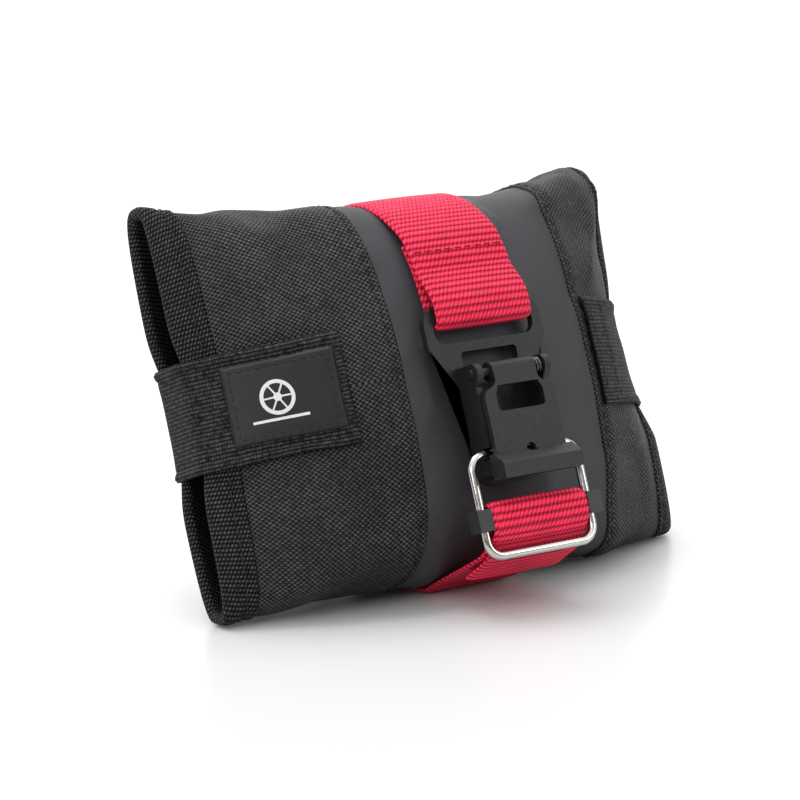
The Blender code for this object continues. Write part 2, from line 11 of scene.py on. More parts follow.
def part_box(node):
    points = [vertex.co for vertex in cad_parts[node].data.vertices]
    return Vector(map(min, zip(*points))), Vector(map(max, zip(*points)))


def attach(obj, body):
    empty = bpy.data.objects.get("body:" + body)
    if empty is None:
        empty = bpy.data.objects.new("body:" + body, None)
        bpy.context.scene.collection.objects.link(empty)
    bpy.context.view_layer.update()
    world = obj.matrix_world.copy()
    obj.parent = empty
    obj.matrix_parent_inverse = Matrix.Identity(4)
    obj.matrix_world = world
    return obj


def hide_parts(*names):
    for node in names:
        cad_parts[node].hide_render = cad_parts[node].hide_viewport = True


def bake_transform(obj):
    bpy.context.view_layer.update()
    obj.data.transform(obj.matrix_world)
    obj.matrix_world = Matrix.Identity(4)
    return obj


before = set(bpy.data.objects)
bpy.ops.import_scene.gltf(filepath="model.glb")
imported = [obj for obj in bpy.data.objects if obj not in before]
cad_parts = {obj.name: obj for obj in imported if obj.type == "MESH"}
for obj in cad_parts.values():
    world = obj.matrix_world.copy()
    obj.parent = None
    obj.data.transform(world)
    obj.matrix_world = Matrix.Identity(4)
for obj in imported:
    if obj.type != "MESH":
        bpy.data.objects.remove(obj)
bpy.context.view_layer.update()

# The bag's own frame: X along the tube, -Y out of the front, Z up, leaned back about X
LEAN = radians(20.0)
STRAP_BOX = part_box("main_strap")
STRAP_X = 0.5 * (STRAP_BOX[0].x + STRAP_BOX[1].x)
HALF_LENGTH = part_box("right_binding")[1].x
CENTRE_DEPTH = 0.007889
CENTRE_HEIGHT = 0.0424

# The tube of cloth. Pairs are for the left and the right mouth
TOP_AT_STRAP = 0.0410
BOTTOM_AT_STRAP = 0.0447
TOP_AT_MOUTHS = (0.0470, 0.0495)
BOTTOM_AT_MOUTHS = (0.0435, 0.0424)
HALF_DEPTH = 0.0272
MOUTH_HALF_DEPTH = 0.0045
TAPER_POWER = 2.2
SQUARENESS = 2.7
SQUARER_AT_MOUTHS = 1.3
RIGHT_CORNER_DROOP = 0.0050
DROOP_STARTS = 0.75
RIGHT_MOUTH_SET_BACK = 0.0087
RIGHT_MOUTH_TWIST = 0.025
RIGHT_MOUTH_BOW = 0.0045
BOW_Z = 0.0100
BOW_REACH = 0.0300
CLOTH = 0.0008
SEAM_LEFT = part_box("centre_panel")[0].x
SEAM_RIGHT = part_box("centre_panel")[1].x

# The skin's grid, where the simulation holds it, its wrinkles and the pull of the elastics
SKIN_ROWS = 88
SKIN_COLUMNS = 184
SKIN_END = 0.0650
ROW_X = np.linspace(-SKIN_END, SKIN_END, SKIN_ROWS)
CLOTH_FRAMES = 24
TAPE_HOLD = (0.0520, 0.0020)
STRAP_HOLD = (0.0120, 0.0015)
BAND_HOLD = (0.0320, 0.0120)
SEAM_HOLD = 0.0012
MOST_WRINKLE = 0.0011
WRINKLE_SOFTENING = 9
PINCH = 0.0021
PINCH_HEIGHT = 0.0150
PINCH_STARTS = 0.0450
PINCH_RUN = 0.0185

# The fold that runs down the right end from its upper corner, in the front wall's (x, z)
FOLD_FOOT = (0.0385, 0.0120)
FOLD_HEAD = (0.0605, 0.0440)
FOLD_HEIGHT = 0.0019
FOLD_LEFT_REACH = 0.0110
FOLD_RIGHT_REACH = 0.0075
FOLD_CREST = 0.0004
FOLD_FADES = (0.0080, 0.0050)

# Hems, tapes, elastics, label, keeper, lining and pockets
HEM_LIFT = 0.0006
HEM_OVERLAP = 0.0010
HEM_WIDTH = 0.0070
HEM_ROW = 0.0015
HEM_UNDERSIDE = 0.00005
BINDING_WIDTH = 0.0072
BINDING_THICK = 0.0005
BINDING_LIFT = 0.0003
RIM_RADIUS = 0.0010
TAPE_ROW = 0.0024
ELASTIC_THICK = 0.0008
ELASTIC_LIFT = 0.0010
BAND_TOP = ELASTIC_LIFT + ELASTIC_THICK
BAND_HALF_HEIGHT = 0.01225
LEFT_BAND_END = -0.0330
RIGHT_BAND_END = 0.0345
BAND_ROWS = (0.0015, 0.0070)
BAND_ROW_HALF = 0.0108
LABEL_X = (-0.0568, -0.0348)
LABEL_Z = (-0.0083, 0.0090)
LABEL_THICK = 0.0005
LABEL_ROW = 0.0013
KEEPER_HALF_HEIGHT = 0.0090
KEEPER_REACH = 0.0190
KEEPER_STEP = 0.0130
LINING_DEPTHS = (0.0011, 0.0015)
LINING_SHORT = 0.0012
POCKET_DEPTHS = (0.0021, 0.0026)
POCKET_SHORT = 0.0062
POCKET_Z = (-0.0290, 0.0175)

# Stitches, as (length, gap)
HEM_STITCH = (0.0024, 0.0009)
RIM_STITCH = (0.0020, 0.0007)
BAND_STITCH = (0.0018, 0.0006)
LABEL_STITCH = (0.0014, 0.0006)
FOLD_STITCH = (0.0017, 0.0007)
THREAD_RADIUS = 0.00017
ROW_STEP = 0.0008

# Webbing, and the strap's route in the bag's (y, z) plane
WEBBING_WIDTH = 0.0250
WEBBING_THICK = 0.0013
WEBBING_DROOP = 0.0002
GAP = 0.0003
RIB_PITCH = 0.0016
RIB_STEP = RIB_PITCH / 7.0
RIB_DEPTH = 0.00016
BAR_Y = -0.0300
BAR_Z = 0.0106
BAR_TURN = 0.00145
FOLD_END = 0.0285
FOLD_SEAM = 0.0262
SLIDER_Z = -0.0345
SLIDER_TOP = 0.0024
SLIDER_TURN = 0.0015

# Ring, pin and spring
WIRE_RADIUS = 0.0010
RING_Y = -0.0350
RING_TOP = -0.0205
RING_BOTTOM = -0.0424
RING_CORNER = 0.0035
KNUCKLE_HALF_WIDTH = 0.0057
PIN_Y = -0.0366
PIN_Z = -0.0030
SPRING_TURNS = 2
SPRING_PITCH = 0.00075
SPRING_RADIUS = 0.00155
SPRING_WIRE = 0.0003

# Pitches and yarn sizes in the cloth's looks, and the label's mark
WEAVE_PITCH = (0.00130, 0.00106)
WEAVE_YARN = (0.00062, 0.00038)
COATING_PITCH = 0.00034
TAPE_RIB_PITCH = 0.00095
TAPE_YARN_PITCH = 0.00082
ELASTIC_RIB_PITCH = 0.00088
ELASTIC_KNIT_PITCH = 0.00066
RED_YARN_PITCH = 0.00108
LINING_PITCH = 0.0003
SATIN_PITCH = 0.0003
WHEEL_RADIUS = 0.0034

# Studio: the sky is bright behind the bag and overhead, by axis and the span where it brightens
FLOOR = 6.0
BRIGHT_BEHIND = (1, 0.0, 0.6)
BRIGHT_ABOVE = (2, 0.30, 0.80)
DIM = 0.24
BRIGHT = 1.60

# Camera
TURN = radians(34.2)
RISE = radians(11.7)
ROLL = radians(-0.97)
DISTANCE = 0.80


def add_object(name, data):
    obj = bpy.data.objects.new(name, data)
    bpy.context.scene.collection.objects.link(obj)
    return obj


def unit(vectors):
    return vectors / np.linalg.norm(vectors, axis=-1, keepdims=True)


def travelled(points):
    """Distance along a line of points, from 0 at its start."""
    return np.concatenate([[0.0], np.cumsum(np.linalg.norm(np.diff(points, axis=0), axis=1))])


def on_line(wanted, travel, values):
    """Values at distances along a line."""
    return np.stack([np.interp(wanted, travel, column) for column in values.T], axis=-1)


# The skin that every soft piece follows

def lean(points):
    """From the bag's own frame to the row frame."""
    y, z = points[..., 1], points[..., 2]
    leaned = np.empty_like(points)
    leaned[..., 0] = points[..., 0]
    leaned[..., 1] = y * cos(LEAN) + z * sin(LEAN) + CENTRE_DEPTH
    leaned[..., 2] = -y * sin(LEAN) + z * cos(LEAN) + CENTRE_HEIGHT
    return leaned


def end_share(x):
    """0 at the middle of the tube and 1 at its mouths."""
    return np.minimum(np.abs(x) / HALF_LENGTH, 1.02)


def smooth_skin(x, angle, offset=0.0):
    """The tube without wrinkles, in the bag's frame. Angle 0 is the front and a quarter turn the top."""
    share = end_share(x)
    right = x > 0
    across, up = np.cos(angle), np.sin(angle)
    depth = MOUTH_HALF_DEPTH + (HALF_DEPTH - MOUTH_HALF_DEPTH) * (1.0 - share**TAPER_POWER)
    top_end = np.where(right, TOP_AT_MOUTHS[1], TOP_AT_MOUTHS[0])
    top = TOP_AT_STRAP + (top_end - TOP_AT_STRAP) * share**TAPER_POWER
    droop = RIGHT_CORNER_DROOP * (np.maximum(share - DROOP_STARTS, 0.0) / (1.0 - DROOP_STARTS)) ** 2
    top = top - np.where(right, droop, 0.0)
    bottom_end = np.where(right, BOTTOM_AT_MOUTHS[1], BOTTOM_AT_MOUTHS[0])
    bottom = BOTTOM_AT_STRAP + (bottom_end - BOTTOM_AT_STRAP) * share**TAPER_POWER
    height = np.where(up > 0.0, top, bottom)
    power = 2.0 / (SQUARENESS + SQUARER_AT_MOUTHS * share**2)
    z = (height + offset) * np.sign(up) * np.abs(up) ** power
    bow = RIGHT_MOUTH_BOW * np.maximum(0.0, 1.0 - ((z - BOW_Z) / BOW_REACH) ** 2)
    back = np.where(right, (RIGHT_MOUTH_SET_BACK + RIGHT_MOUTH_TWIST * z + bow) * share**3, 0.0)
    y = back - (depth + offset) * np.sign(across) * np.abs(across) ** power
    rest = WEBBING_THICK + GAP - CENTRE_HEIGHT - offset
    missing = np.maximum(rest - (-y * sin(LEAN) + z * cos(LEAN)), 0.0)
    y = y - missing * sin(LEAN)
    z = z + missing * cos(LEAN)
    return np.stack(np.broadcast_arrays(x, y, z), axis=-1)


def even_rows():
    """Rows of points across the tube, each spaced evenly round it from the middle of the front."""
    fine = np.linspace(0.0, 2.0 * pi, 2881)
    rows = []
    for x in ROW_X:
        line = smooth_skin(np.full_like(fine, x), fine)
        travel = travelled(line)
        rows.append(on_line(travel[-1] * np.arange(SKIN_COLUMNS) / SKIN_COLUMNS, travel, line))
    return np.array(rows)


def outward(grid):
    """Unit normals of a grid of rows that close round the tube."""
    along = np.gradient(grid, axis=0)
    around = np.roll(grid, -1, axis=1) - np.roll(grid, 1, axis=1)
    normal = np.cross(along, around)
    for _ in range(2):
        normal = normal + 0.5 * (np.roll(normal, 1, axis=1) + np.roll(normal, -1, axis=1))
    return unit(normal)


def catmull_rom(t):
    """Weights of four points in a row for a place between the middle two."""
    return (
        0.5 * (-t + 2.0 * t**2 - t**3),
        0.5 * (2.0 - 5.0 * t**2 + 3.0 * t**3),
        0.5 * (t + 4.0 * t**2 - 3.0 * t**3),
        0.5 * (-(t**2) + t**3),
    )


def sample(grid, x, turn):
    """Smooth values of a grid at places along (metres) and round (turns) the tube."""
    x, turn = np.broadcast_arrays(np.asarray(x, float), np.asarray(turn, float))
    row = np.clip((x + SKIN_END) / (2.0 * SKIN_END) * (SKIN_ROWS - 1), 0.0, SKIN_ROWS - 1.001)
    column = np.mod(turn, 1.0) * SKIN_COLUMNS
    row_floor, column_floor = np.floor(row).astype(int), np.floor(column).astype(int)
    row_weights = catmull_rom(row - row_floor)
    column_weights = catmull_rom(column - column_floor)
    total = 0.0
    for i in range(4):
        rows = np.clip(row_floor + i - 1, 0, SKIN_ROWS - 1)
        for j in range(4):
            columns = np.mod(column_floor + j - 1, SKIN_COLUMNS)
            total = total + grid[rows, columns] * (row_weights[i] * column_weights[j])[..., None]
    return total


def wrinkled(grid):
    """Cloth simulation of the tube: a little spare cloth, held by tapes, seams, elastics and strap."""
    count = SKIN_ROWS * SKIN_COLUMNS
    faces = []
    for row in range(SKIN_ROWS - 1):
        for column in range(SKIN_COLUMNS):
            following = (column + 1) % SKIN_COLUMNS
            low, high = row * SKIN_COLUMNS, (row + 1) * SKIN_COLUMNS
            faces.append((low + column, high + column, high + following, low + following))
    mesh = bpy.data.meshes.new("cloth_tube")
    mesh.from_pydata(grid.reshape(count, 3).tolist(), [], faces)
    tube = add_object("cloth_tube", mesh)

    x, z = grid[..., 0], grid[..., 2]
    tape_hold = np.clip((np.abs(x) - TAPE_HOLD[0]) / TAPE_HOLD[1], 0.0, 1.0)
    strap_hold = np.clip(1.0 - (np.abs(x - STRAP_X) - STRAP_HOLD[0]) / STRAP_HOLD[1], 0.0, 1.0)
    band_hold = 0.35 * (np.abs(z) < BAND_HOLD[1]) * (np.abs(x) > BAND_HOLD[0])
    seam_distance = np.minimum(np.abs(x - SEAM_LEFT), np.abs(x - SEAM_RIGHT))
    seam_hold = 0.12 * (seam_distance < SEAM_HOLD)
    hold = np.maximum.reduce([tape_hold, strap_hold, band_hold, seam_hold])
    group = tube.vertex_groups.new(name="hold")
    for index, weight in enumerate(hold.reshape(count)):
        if weight > 0.0:
            group.add([index], float(weight), "REPLACE")

    settings = tube.modifiers.new("Cloth", "CLOTH").settings
    settings.quality = 6
    settings.mass = 0.25
    settings.tension_stiffness = 25.0
    settings.compression_stiffness = 25.0
    settings.shear_stiffness = 12.0
    settings.bending_stiffness = 0.9
    settings.shrink_min = -0.075
    settings.vertex_group_mass = "hold"
    settings.pin_stiffness = 2.0
    settings.use_pressure = True
    settings.uniform_pressure_force = 1.2
    settings.effector_weights.gravity = 0.0
    scene = bpy.context.scene
    for number in range(CLOTH_FRAMES):
        scene.frame_set(number + 1)
    result = tube.evaluated_get(bpy.context.evaluated_depsgraph_get())
    moved = np.empty(count * 3, np.float64)
    result.data.vertices.foreach_get("co", moved)
    scene.frame_set(1)
    bpy.data.objects.remove(tube, do_unlink=True)
    shift = moved.reshape(grid.shape) - grid
    for _ in range(WRINKLE_SOFTENING):
        ends = np.concatenate([shift[:1], shift, shift[-1:]])
        beside = np.roll(shift, 1, axis=1) + np.roll(shift, -1, axis=1)
        shift = 0.2 * (shift + ends[:-2] + ends[2:] + beside)
    length = np.linalg.norm(shift, axis=-1, keepdims=True)
    return grid + shift * (MOST_WRINKLE / np.maximum(length, MOST_WRINKLE))


SMOOTH_GRID = even_rows()
SKIN_GRID = wrinkled(SMOOTH_GRID)
SKIN_NORMAL = outward(SKIN_GRID)


def corner_fold(x, z, turn):
    """Height of the fold: a rounded crest, a long slope on its left and a short one on its right."""
    run, rise = FOLD_HEAD[0] - FOLD_FOOT[0], FOLD_HEAD[1] - FOLD_FOOT[1]
    length = (run**2 + rise**2) ** 0.5
    run, rise = run / length, rise / length
    along = (x - FOLD_FOOT[0]) * run + (z - FOLD_FOOT[1]) * rise
    across = (x - FOLD_FOOT[0]) * rise - (z - FOLD_FOOT[1]) * run
    reach = np.where(across > 0.0, FOLD_RIGHT_REACH, FOLD_LEFT_REACH)
    crest = np.maximum(0.0, 1.0 - np.sqrt(across**2 + FOLD_CREST**2) / reach) ** 1.4
    foot = np.clip(along / FOLD_FADES[0], 0.0, 1.0)
    head = np.clip((length - along) / FOLD_FADES[1], 0.0, 1.0)
    on_front = np.clip(4.0 * np.cos(2.0 * pi * turn), 0.0, 1.0)
    return FOLD_HEIGHT * crest * foot * head * on_front


def skin(x, turn, offset=0.0):
    """Points on the wrinkled cloth, moved out by offset, in the row frame."""
    offset = np.asarray(offset, float)[..., None]
    inside, normal = sample(SKIN_GRID, x, turn), sample(SKIN_NORMAL, x, turn)
    inside += normal * (offset + corner_fold(inside[..., 0], inside[..., 2], turn)[..., None])
    near_mouth = np.clip((np.abs(inside[..., 0]) - PINCH_STARTS) / PINCH_RUN, 0.0, 1.0) ** 2
    under_band = np.exp(-((inside[..., 2] / PINCH_HEIGHT) ** 4))
    inside[..., 0] -= np.sign(inside[..., 0]) * PINCH * near_mouth * under_band
    points = lean(inside)
    points[..., 2] = np.maximum(points[..., 2], WEBBING_THICK + GAP - offset[..., 0])
    return points


def turn_at(x, height, side):
    """Where round the tube the front (1) or rear (-1) wall has a height in the bag's own frame."""
    columns = np.arange(-SKIN_COLUMNS // 4 + 6, SKIN_COLUMNS // 4 - 5)
    if side < 0:
        columns = SKIN_COLUMNS // 2 - columns
    row = int(round((x + SKIN_END) / (2.0 * SKIN_END) * (SKIN_ROWS - 1)))
    heights = SMOOTH_GRID[min(max(row, 0), SKIN_ROWS - 1), np.mod(columns, SKIN_COLUMNS), 2]
    return np.interp(height, heights, columns / SKIN_COLUMNS)


# Meshes

def grid_mesh(name, points, look, closed_along=False):
    """A mesh from an array of closed profiles, capped where it ends. Its UV map is in metres."""
    count, size = points.shape[:2]
    here, start = np.arange(count if closed_along else count - 1)[:, None], np.arange(size)[None, :]
    low, high, following = here * size, (here + 1) % count * size, (start + 1) % size
    corners = (low + start, high + start, high + following, low + following)
    faces = np.stack(corners, axis=-1).reshape(-1, 4)
    polygons = faces.tolist()
    if not closed_along:
        polygons.append(list(range(size))[::-1])
        polygons.append(list(range((count - 1) * size, count * size)))
    mesh = bpy.data.meshes.new(name)
    mesh.from_pydata(points.reshape(-1, 3).tolist(), [], polygons)
    around = np.linalg.norm(np.roll(points, -1, axis=1) - points, axis=-1).mean(axis=0)
    along = np.linalg.norm(np.roll(points, -1, axis=0) - points, axis=-1).mean(axis=1)
    u = np.concatenate([[0.0], np.cumsum(around)])
    v = np.concatenate([[0.0], np.cumsum(along)])
    layer = mesh.uv_layers.new(name="UVMap")
    rows, columns = np.broadcast_arrays(here, start)
    corner_u = np.stack([u[columns], u[columns], u[columns + 1], u[columns + 1]], axis=-1)
    corner_v = np.stack([v[rows], v[rows + 1], v[rows + 1], v[rows]], axis=-1)
    values = np.zeros((len(mesh.loops), 2), np.float32)
    values[: faces.size] = np.stack([corner_u, corner_v], axis=-1).reshape(-1, 2)
    layer.data.foreach_set("uv", values.ravel())
    work = bmesh.new()
    work.from_mesh(mesh)
    bmesh.ops.recalc_face_normals(work, faces=work.faces)
    work.to_mesh(mesh)
    work.free()
    mesh.shade_smooth()
    mesh.materials.append(look)
    return add_object(name, mesh)


def finish_piece(obj, body, slot, *nodes):
    """What each piece needs: its body and the CAD nodes that it stands for, which it hides. Its slot is
    not used.
    """
    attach(obj, body)
    if nodes:
        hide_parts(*nodes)
    return obj


def tube_piece(name, outline, look, columns=230):
    """A closed sleeve of cloth round the bag. The outline is a closed list of (x, offset)."""
    turns = np.arange(columns)[:, None] / columns
    x, offset = np.array(outline).T
    points = skin(x[None, :], turns, np.broadcast_to(offset, (columns, len(x))))
    return grid_mesh(name, points, look, True)


# Cloth pieces

def even(start, end, step):
    """Evenly spaced numbers about a step apart, both ends included."""
    count = max(int(round(abs(end - start) / step)), 1)
    return [start + (end - start) * i / count for i in range(count + 1)]


def rounded_step(distance, radius):
    """0 at an edge, rising to 1 along a quarter circle."""
    t = min(max(distance / radius, 0.0), 1.0)
    return (1.0 - (1.0 - t) ** 2) ** 0.5


def dent(distance, place, width=0.0007):
    """1 at a place, falling to 0 on both sides of it."""
    return 1.0 / (1.0 + ((distance - place) / width) ** 4)


def hem_offset(distance):
    """Outer surface of an end panel by the distance from its folded edge."""
    edge = rounded_step(distance, 0.0007)
    fold = 1.0 - rounded_step(distance - 0.5 * HEM_WIDTH, HEM_WIDTH) ** 2
    stitched = 0.42 * dent(distance, HEM_ROW)
    return HEM_LIFT * (edge * (0.12 + 0.88 * fold) - stitched * fold) + 0.00004


def end_panel(name, side, seam, look):
    """Woven panel from the mouth to a folded, stitched hem that laps over the centre panel."""
    mouth = side * (HALF_LENGTH - BINDING_THICK - BINDING_LIFT)
    edge = seam - side * HEM_OVERLAP
    hem = [edge + side * distance for distance in even(0.0, 1.6 * HEM_WIDTH, 0.00035)]
    rest = even(hem[-1], mouth, 0.0009)[1:]
    outer = [(x, hem_offset(abs(x - edge))) for x in hem + rest]
    inner_edge = seam + side * 0.0004
    inner = [(x, -CLOTH) for x in even(mouth, inner_edge, 0.0018)]
    lap = [(inner_edge, HEM_UNDERSIDE), (edge + side * 0.0003, HEM_UNDERSIDE)]
    return tube_piece(name, outer + inner + lap, look)


def centre_panel(look):
    low, high = SEAM_LEFT + 0.0002, SEAM_RIGHT - 0.0002
    outer = [(x, 0.0) for x in even(low, high, 0.0008)]
    inner = [(x, -CLOTH) for x in even(high, low, 0.0020)]
    return tube_piece("grey_centre_cloth", outer + inner, look)


def binding(name, side, look):
    """Ribbed tape folded round the rim, fuller at the fold and pulled in along its stitches."""
    inner_end = HALF_LENGTH - BINDING_WIDTH
    crown = HALF_LENGTH - RIM_RADIUS

    def lifted(x):
        fuller = 0.0004 * rounded_step(x - (HALF_LENGTH - 0.0042), 0.0030)
        return 0.00015 + fuller - 0.00022 * dent(x, inner_end + TAPE_ROW)

    flat = even(inner_end, crown, 0.0005)
    outside = [(x, lifted(x) + BINDING_THICK * rounded_step(x - inner_end, 0.0004)) for x in flat]
    top, bottom = outside[-1][1], -CLOTH - BINDING_LIFT - BINDING_THICK
    middle, half = 0.5 * (top + bottom), 0.5 * (top - bottom)
    fold = []
    for degrees in (70, 50, 30, 12, -12, -30, -50, -70):
        angle = radians(degrees)
        fold.append((crown + RIM_RADIUS * cos(angle) ** 0.7, middle + half * sin(angle)))
    inside = [(x, bottom) for x in even(crown, inner_end, 0.0010)]
    ply, bight = -CLOTH - BINDING_LIFT, crown - 0.0003
    outline = outside + fold + inside + [(inner_end, ply), (bight, ply), (bight, 0.0001)]
    return tube_piece(name, [(side * x, offset) for x, offset in outline], look)


def inner_sleeve(look):
    end = HALF_LENGTH - BINDING_WIDTH - LINING_SHORT
    outer = [(x, -LINING_DEPTHS[0]) for x in even(-end, end, 0.0025)]
    inner = [(x, -LINING_DEPTHS[1]) for x in even(end, -end, 0.0025)]
    return tube_piece("lining_sleeve", outer + inner, look, 160)


def wall_points(x, heights, side, offset):
    """Points on the front or rear wall at one place along the tube."""
    turns = turn_at(x, np.asarray(heights), side)
    return skin(np.full(len(heights), x), turns, np.broadcast_to(offset, (len(heights),)))


def pocket(name, side, look):
    end = HALF_LENGTH - BINDING_WIDTH - POCKET_SHORT
    heights = np.array(even(*POCKET_Z, 0.0030))
    profiles = []
    for x in even(-end, end, 0.0030):
        outer = wall_points(x, heights, side, -POCKET_DEPTHS[0])
        inner = wall_points(x, heights[::-1], side, -POCKET_DEPTHS[1])
        profiles.append(np.concatenate([outer, inner]))
    return grid_mesh(name, np.array(profiles), look)


def band_section(half):
    """Heights and lifts round a band's section: a face with rolled edges, then a plain back."""
    face, back = np.linspace(-half, half, 33), np.linspace(half, -half, 9)
    lifts = []
    for inset in half - np.abs(face):
        roll = 0.00022 * dent(inset, 0.0010, 0.0008) - 0.00016 * dent(inset, 0.0023, 0.0005)
        lifts.append(ELASTIC_THICK * rounded_step(inset + 0.00012, 0.0007) + roll)
    return np.concatenate([face, back]), np.concatenate([lifts, np.zeros(9)])


def elastic_band(name, side, inner_end, look):
    """Elastic from a sewn end on the front, round the mouth and back along the rear wall."""
    heights, lifts = band_section(BAND_HALF_HEIGHT)
    along = even(inner_end, side * HALF_LENGTH, 0.0011)
    raised = ELASTIC_LIFT - 0.0002 + lifts
    front = [wall_points(x, heights, 1, raised) for x in along]
    back = [wall_points(x, heights, -1, raised) for x in reversed(along)]
    turn = []
    for degrees in (12, 28, 45, 62, 78, 90, 102, 118, 135, 152, 168):
        angle = radians(degrees)
        share = 0.5 * (1.0 - np.sign(cos(angle)) * abs(cos(angle)) ** 0.55)
        station = front[-1] * (1.0 - share) + back[0] * share
        bow = sin(angle) ** 0.5
        station[:, 0] += side * bow * (0.0001 + 0.8 * lifts)
        turn.append(station)
    return grid_mesh(name, np.array(front + turn + back), look)


def label(look):
    """A woven patch sewn on the left elastic."""
    (start, end), (low, high) = LABEL_X, LABEL_Z
    rows = np.array(even(low, high, 0.0006))
    profiles = []
    for x in even(start, end, 0.0006):
        to_side = min(x - start, end - x)
        lifts = []
        for z in rows:
            inset = min(to_side, z - low, high - z)
            edge = rounded_step(inset + 0.0001, 0.0006)
            lifts.append(LABEL_THICK * edge - 0.00012 * dent(inset, LABEL_ROW, 0.0004))
        outer = wall_points(x, rows, 1, BAND_TOP + np.array(lifts))
        inner = wall_points(x, rows[::-1], 1, BAND_TOP - 0.0002)
        profiles.append(np.concatenate([outer, inner]))
    return grid_mesh("woven_label", np.array(profiles), look)


def keeper(look):
    """Tape on the rear wall that steps over the webbing."""
    heights, lifts = band_section(KEEPER_HALF_HEIGHT)
    profiles = []
    for reach in even(-KEEPER_REACH, KEEPER_REACH, 0.0008):
        over = 1.0 - rounded_step(abs(reach) - KEEPER_STEP, 0.0026) ** 2
        x = STRAP_X + reach
        rise = 0.0002 + over * (WEBBING_THICK + 0.0007 + 0.0006 * (reach / KEEPER_STEP) ** 2)
        profiles.append(wall_points(x, heights, -1, rise + lifts))
    return grid_mesh("rear_keeper", np.array(profiles), look)


# Webbing

def right_hand(path):
    """Unit normals on the right-hand side of a path of (y, z) points."""
    along = unit(np.gradient(path, axis=0))
    return np.stack([along[:, 1], -along[:, 0]], axis=1)


def even_path(points, step):
    """A smooth curve through points, resampled at even steps."""
    points = np.asarray(points, float)
    ends = np.concatenate([[2.0 * points[0] - points[1]], points, [2.0 * points[-1] - points[-2]]])
    fine = []
    for i in range(len(points) - 1):
        for t in np.linspace(0.0, 1.0, 12, endpoint=False):
            weights = catmull_rom(t)
            fine.append(sum(weight * ends[i + k] for k, weight in enumerate(weights)))
    fine.append(points[-1])
    fine = np.array(fine)
    travel = travelled(fine)
    return on_line(np.arange(0.0, travel[-1], step), travel, fine)


def webbing(points, phase=0.0):
    """Sections of ribbed webbing on the right-hand side of a path in the bag's (y, z) plane."""
    path = even_path(points, RIB_STEP)
    normal = right_hand(path)
    travel = np.arange(len(path)) * RIB_STEP
    rib = np.abs(np.cos(pi * (travel / RIB_PITCH + phase))) ** 0.75
    face = [(share, 1.0) for share in np.linspace(-0.9, 0.9, 19)]
    edge = [(1.0, 0.72), (1.012, 0.5), (1.0, 0.28)]
    section = np.array(face + edge)
    section = np.concatenate([section, (0.0, 1.0) - section])
    half = 0.5 * WEBBING_WIDTH - 0.00012 + RIB_DEPTH * rib[:, None]
    across = section[:, 0][None, :] * half
    relief = RIB_DEPTH * (rib[:, None] - 1.0)
    height = section[:, 1][None, :] * WEBBING_THICK
    height = height + np.where(section[:, 1] > 0.9, relief, 0.0)
    height = height - np.where(section[:, 1] < 0.1, relief, 0.0)
    height = height - WEBBING_DROOP * section[:, 0][None, :] ** 2
    points_3d = np.empty((len(path), len(section), 3))
    points_3d[..., 0] = STRAP_X + across
    points_3d[..., 1] = path[:, 0, None] + normal[:, 0, None] * height
    points_3d[..., 2] = path[:, 1, None] + normal[:, 1, None] * height
    return lean(points_3d)


def arc(centre, radius, start, end, steps):
    """Points of an arc between two angles in degrees."""
    angles = np.radians(np.linspace(start, end, steps))
    return [np.array([centre[0] + radius * cos(a), centre[1] + radius * sin(a)]) for a in angles]


def round_the_bag(start, end, steps, offset):
    """(y, z) points on the smooth tube under the strap, by angle in degrees."""
    angles = np.radians(np.linspace(start, end, steps))
    return [point[1:] for point in smooth_skin(np.full(steps, STRAP_X), angles, offset)]


def front_wall(height, offset):
    """(y, z) on the smooth front wall under the strap at a height."""
    angles = np.radians(np.linspace(0.0, 80.0, 400))
    wall = smooth_skin(np.full(400, STRAP_X), angles, offset)
    return np.array([np.interp(height, wall[:, 2], wall[:, 1]), height])


def strap_route():
    """Up from behind the ring, under and round the bag, into the slot and up behind itself."""
    to_ring = [(-0.0323, -0.0380), (-0.0322, -0.0387), (-0.0314, -0.0400)]
    to_ring += [(-0.0298, -0.0409), (-0.0262, -0.0418)]
    around = round_the_bag(-78.0, -300.0, 60, GAP)
    outer_ply = 2.0 * GAP + WEBBING_THICK
    rising = [front_wall(z, offset) for z, offset in ((0.0365, GAP + 0.0002), (0.0335, GAP + 0.0007))]
    around = [point for point in around if not (point[0] < 0.0 and 0.0 < point[1] < 0.0385)]
    down = [front_wall(z, outer_ply) for z in (0.0300, 0.0270, 0.0240, 0.0210)]
    over_bar = [(-0.0303, 0.0165), (-0.0313, 0.0138)]
    turn = arc((BAR_Y, BAR_Z), BAR_TURN, 180.0, 360.0, 9)
    behind = [front_wall(z, GAP + WEBBING_THICK) for z in (0.0150, 0.0190, 0.0225, 0.0255, FOLD_END)]
    return to_ring, around + rising + down + over_bar + turn + behind


def slider_route():
    """Up behind the slider's core, down its front, then behind the ring's lowest bar."""
    back, front = RING_Y + SLIDER_TURN, RING_Y - SLIDER_TURN
    over = arc((RING_Y, SLIDER_Z + SLIDER_TOP + GAP - SLIDER_TURN), SLIDER_TURN, 0.0, 180.0, 9)
    wrap = [(back, -0.0383), (back, -0.0355)] + over + [(front, -0.0364), (front + 0.0008, -0.0376)]
    tail = [(-0.0346, -0.0388), (-0.0333, -0.0402), (-0.0320, -0.0416), (-0.0299, -0.0426)]
    return wrap, tail + [(-0.0262, -0.0436), (-0.0215, -0.0449)]


def split_at(sections, start):
    """Index of the section nearest the (y, z) start of a route's second part."""
    target = lean(np.array([STRAP_X, *start]))
    distance = np.linalg.norm(sections.mean(axis=1) - target, axis=1)
    return int(distance.argmin())


# Wire and thread

